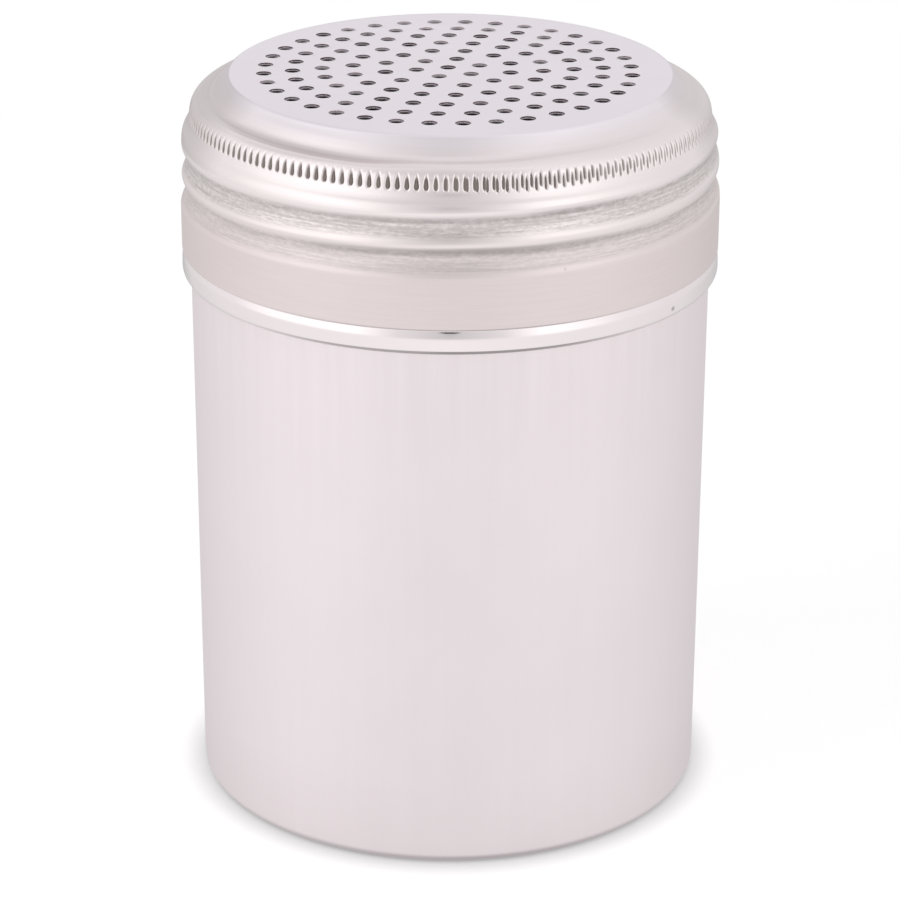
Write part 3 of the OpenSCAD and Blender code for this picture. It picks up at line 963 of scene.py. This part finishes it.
# %% Tent
# Brightness by azimuth, from the front towards the right, in four belts from
# the table up to the roof. A direction's height runs from -1, straight down, to
# 1, straight up; the two heights before a belt say where it takes over.
TENT_TABLE = [(-180, 0.66), (-73, 0.53), (-30, 0.5), (0, 0.38), (30, 0.41), (73, 0.42), (180, 0.66)]
TENT_LOW = [(-180, 0.5), (-160, 0.62), (-143, 0.84), (-110, 0.99), (-75, 1.06), (-40, 1.08), (0, 1.12),
            (40, 1.06), (75, 1.03), (116, 0.93), (151, 0.72), (180, 0.5)]
TENT_SIDES = [(-180, 0.89), (-143, 0.9), (-101, 1.05), (-80, 1.34), (-40, 1.42), (-22, 0.95), (0, 0.74), (22, 0.95),
              (40, 1.42), (60, 1.27), (75, 1.08), (101, 0.98), (143, 0.9), (180, 0.89)]
TENT_ROOF = [(-180, 0.91), (-113, 0.8), (-88, 0.99), (-67, 1.07), (-45, 0.88), (-28, 0.82), (0, 0.72),
             (20, 0.83), (45, 0.95), (67, 1.09), (88, 1.0), (113, 0.92), (180, 0.91)]
BELTS = [(-0.88, -0.68, TENT_LOW), (-0.22, 0.0, TENT_SIDES), (0.5, 0.72, TENT_ROOF)]
WORLD_LIGHT = 0.55
world = bpy.data.worlds.new("white_tent")
bpy.context.scene.world = world
world.use_nodes = True
tree = world.node_tree
tree.nodes.clear()
seen, gloss = seen_white(tree)
way = node(tree, "ShaderNodeSeparateXYZ", {0: tree.nodes.new("ShaderNodeTexCoord").outputs["Generated"]})
azimuth = math_node(tree, "ARCTAN2", way.outputs["X"], math_node(tree, "MULTIPLY", way.outputs["Y"], -1.0))


def belt(keys):
    """A ramp of brightness round the tent."""
    round_it = node(tree, "ShaderNodeValToRGB", {0: ramp_value(tree, azimuth, -math.pi, math.pi)})
    stops = round_it.color_ramp.elements
    while len(stops) < len(keys):
        stops.new(0.5)
    for stop, (degrees, value) in zip(stops, keys):
        stop.position = degrees / 360 + 0.5
        stop.color = (value / 2, value / 2, value / 2, 1)
    return math_node(tree, "MULTIPLY", round_it.outputs["Color"], 2.0)


tent = belt(TENT_TABLE)
for low, high, keys in BELTS:
    tent = mix_value(tree, ramp_value(tree, way.outputs["Z"], low, high), tent, belt(keys))
tent = mix_value(tree, gloss, 1.0, tent)
shown = node(tree, "ShaderNodeBackground", {"Color": (1, 1, 1, 1), "Strength": tent})
lights = node(tree, "ShaderNodeBackground", {"Color": (1, 1, 1, 1), "Strength": WORLD_LIGHT})
pick = node(tree, "ShaderNodeMixShader", {0: seen, 1: lights.outputs[0], 2: shown.outputs[0]})
tree.links.new(pick.outputs[0], tree.nodes.new("ShaderNodeOutputWorld").inputs["Surface"])
print("tent:", len(BELTS) + 1, "belts")

# %% [markdown]
# The steel mirrors the dark front of the camera too, as a short mark in the
# middle of the hem. A round card at the camera's place makes it. The card is
# hidden from all rays but the glossy ones, so it shades nothing.

# %% Camera in the gloss
EYE_SIZE, EYE_SIDES = 29.0, 24
eye_mesh = bpy.data.meshes.new("camera_front")
eye_corners = [math.radians(360 / EYE_SIDES * i) for i in range(EYE_SIDES)]
eye_mesh.from_pydata([(EYE_SIZE * MM * math.cos(a), EYE_SIZE * MM * math.sin(a), 0.0) for a in eye_corners], [],
                     [tuple(range(EYE_SIDES))])
eye = bpy.data.objects.new("camera_front", eye_mesh)
eye.matrix_world = camera.matrix_world @ Matrix.Translation((0, 0, -0.01))
eye.visible_camera = eye.visible_diffuse = eye.visible_shadow = eye.visible_transmission = False
bpy.context.collection.objects.link(eye)
black = bpy.data.materials.new("black_camera")
black.use_nodes = True
black.node_tree.nodes["Principled BSDF"].inputs["Base Color"].default_value = (0.04, 0.035, 0.035, 1)
eye_mesh.materials.append(black)
print("camera card, radius", EYE_SIZE, "mm")


# %% [markdown]
# The world alone would light the table evenly. An area lamp at each side, the
# left one stronger, gives the shaker a shadow, and a lamp as large as this
# leaves that shadow no edge.

# %% Lamps
LAMP_AIM = Vector((0, 0, 0.06))


def soft_lamp(name, azimuth, elevation, distance, width, height, power):
    """A lamp that faces the shaker, azimuth from the front towards the right. Gloss shows the tent, not the lamp."""
    data = bpy.data.lights.new(name, "AREA")
    data.shape, data.size, data.size_y, data.energy = "RECTANGLE", width, height, power
    lamp = bpy.data.objects.new(name, data)
    lamp.visible_glossy = False
    a, e = math.radians(azimuth), math.radians(elevation)
    back = Vector((math.sin(a) * math.cos(e), -math.cos(a) * math.cos(e), math.sin(e)))
    lamp.location = LAMP_AIM + back * distance
    lamp.rotation_mode = "QUATERNION"
    lamp.rotation_quaternion = back.to_track_quat("Z", "Y")
    bpy.context.collection.objects.link(lamp)
    return lamp


soft_lamp("lamp_left", azimuth=-62, elevation=28, distance=0.9, width=0.55, height=0.5, power=1.0)
soft_lamp("lamp_right", azimuth=62, elevation=28, distance=0.9, width=0.55, height=0.5, power=0.6)

# %% Look
bpy.context.scene.view_settings.view_transform = "Standard"
